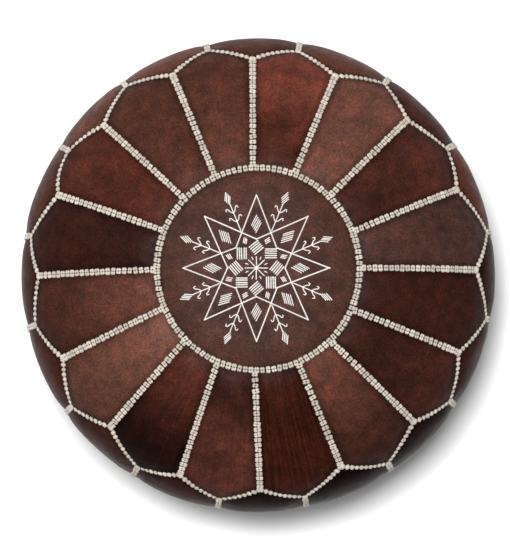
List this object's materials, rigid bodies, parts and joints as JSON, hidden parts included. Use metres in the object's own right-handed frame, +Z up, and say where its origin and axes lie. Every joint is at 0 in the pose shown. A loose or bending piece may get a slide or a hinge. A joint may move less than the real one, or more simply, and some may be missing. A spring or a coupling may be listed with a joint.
{
  "type": "moroccan leather pouf",
  "caption": "Round stuffed leather floor pouf of sewn petals and side panels, laced with cream thread, with an embroidered star medallion and a zip under the base.",
  "frame": {"origin": "on the floor, under the middle of the base", "axes": "+Z up out of the medallion, +X along the zip towards its closed end, +Y across the zip"},
  "size_m": [0.5256, 0.5256, 0.33],
  "materials": {
    "hide_medallion": "waxed, satin, dark greyish brown",
    "hide_dark": "waxed, satin, very dark brown",
    "hide_brown": "waxed, satin, reddish brown",
    "hide_tan": "waxed, satin, light brown",
    "hide_base": "plain, matt brown",
    "thread_lacing": "plaited cotton, cream",
    "thread_embroidery": "twisted cotton thread, off-white",
    "muslin": "plain unbleached muslin",
    "filling": "packed textile scraps",
    "zip_tape": "woven tape, dark brown",
    "zip_brass": "dull brass"
  },
  "bodies": {
    "cover": {"base_half_back": "hide_base", "base_half_front": "hide_base", "centre_medallion": "hide_medallion", "centre_spokes": "thread_embroidery", "inner_squares": "thread_embroidery", "insert_bag": "muslin", "insert_filling": "filling", "medallion_braid": "thread_lacing", "petal_01": "hide_dark", "petal_02": "hide_dark", "petal_03": "hide_tan", "petal_04": "hide_brown", "petal_05": "hide_brown", "petal_06": "hide_brown", "petal_07": "hide_brown", "petal_08": "hide_dark", "petal_09": "hide_brown", "petal_10": "hide_tan", "petal_11": "hide_dark", "petal_12": "hide_brown", "petal_13": "hide_dark", "petal_14": "hide_brown", "petal_15": "hide_dark", "petal_16": "hide_dark", "petal_braids": "thread_lacing", "scallop_braid": "thread_lacing", "side_braids": "thread_lacing", "side_panel_01": "hide_dark", "side_panel_02": "hide_brown", "side_panel_03": "hide_tan", "side_panel_04": "hide_brown", "side_panel_05": "hide_brown", "side_panel_06": "hide_tan", "side_panel_07": "hide_tan", "side_panel_08": "hide_brown", "side_panel_09": "hide_brown", "side_panel_10": "hide_dark", "side_panel_11": "hide_dark", "side_panel_12": "hide_dark", "side_panel_13": "hide_dark", "side_panel_14": "hide_dark", "side_panel_15": "hide_dark", "side_panel_16": "hide_dark", "small_diamonds": "thread_embroidery", "sprig_diamonds": "thread_embroidery", "sprigs": "thread_embroidery", "star_diamonds": "thread_embroidery", "star_outline": "thread_embroidery", "zip_bottom_stop": "zip_brass", "zip_end_patches": "hide_base", "zip_tape_back": "zip_tape", "zip_tape_front": "zip_tape", "zip_teeth_back": "zip_brass", "zip_teeth_front": "zip_brass", "zip_top_stops": "zip_brass"},
    "zip_slider": {"zip_slider": "zip_brass"},
    "zip_pull": {"zip_pull": "zip_brass"}
  },
  "joints": [
    {"name": "zip_slide", "type": "slide", "parent": "cover", "child": "zip_slider", "axis": [-1, 0, 0], "range_m": [0, 0.212]},
    {"name": "zip_pull_hinge", "type": "hinge", "parent": "zip_slider", "child": "zip_pull", "pos_m": [0.106, 0, 0.00775], "axis": [0, -1, 0], "range_deg": [-14, 166]}
  ]
}
